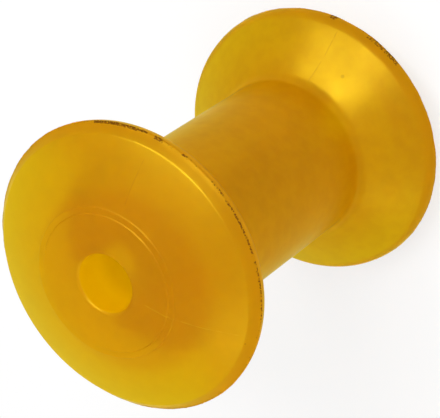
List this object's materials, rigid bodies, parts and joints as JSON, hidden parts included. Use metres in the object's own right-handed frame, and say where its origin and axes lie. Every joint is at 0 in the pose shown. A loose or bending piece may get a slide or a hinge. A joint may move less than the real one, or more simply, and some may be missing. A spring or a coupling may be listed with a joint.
{
  "type": "boat trailer roller",
  "caption": "Moulded urethane spool roller for a boat trailer: a round barrel between tapered flanges, with a plain through bore for a shaft.",
  "frame": {"origin": "middle of the bore, halfway between the two end faces", "axes": "+Z along the bore axis; the roller is round about Z, so X and Y are free, and it stands on its lower end face"},
  "size_m": [0.0698, 0.0698, 0.1016],
  "materials": {
    "urethane": "translucent amber, satin as moulded"
  },
  "bodies": {
    "root": {"roller": "urethane"}
  },
  "joints": []
}
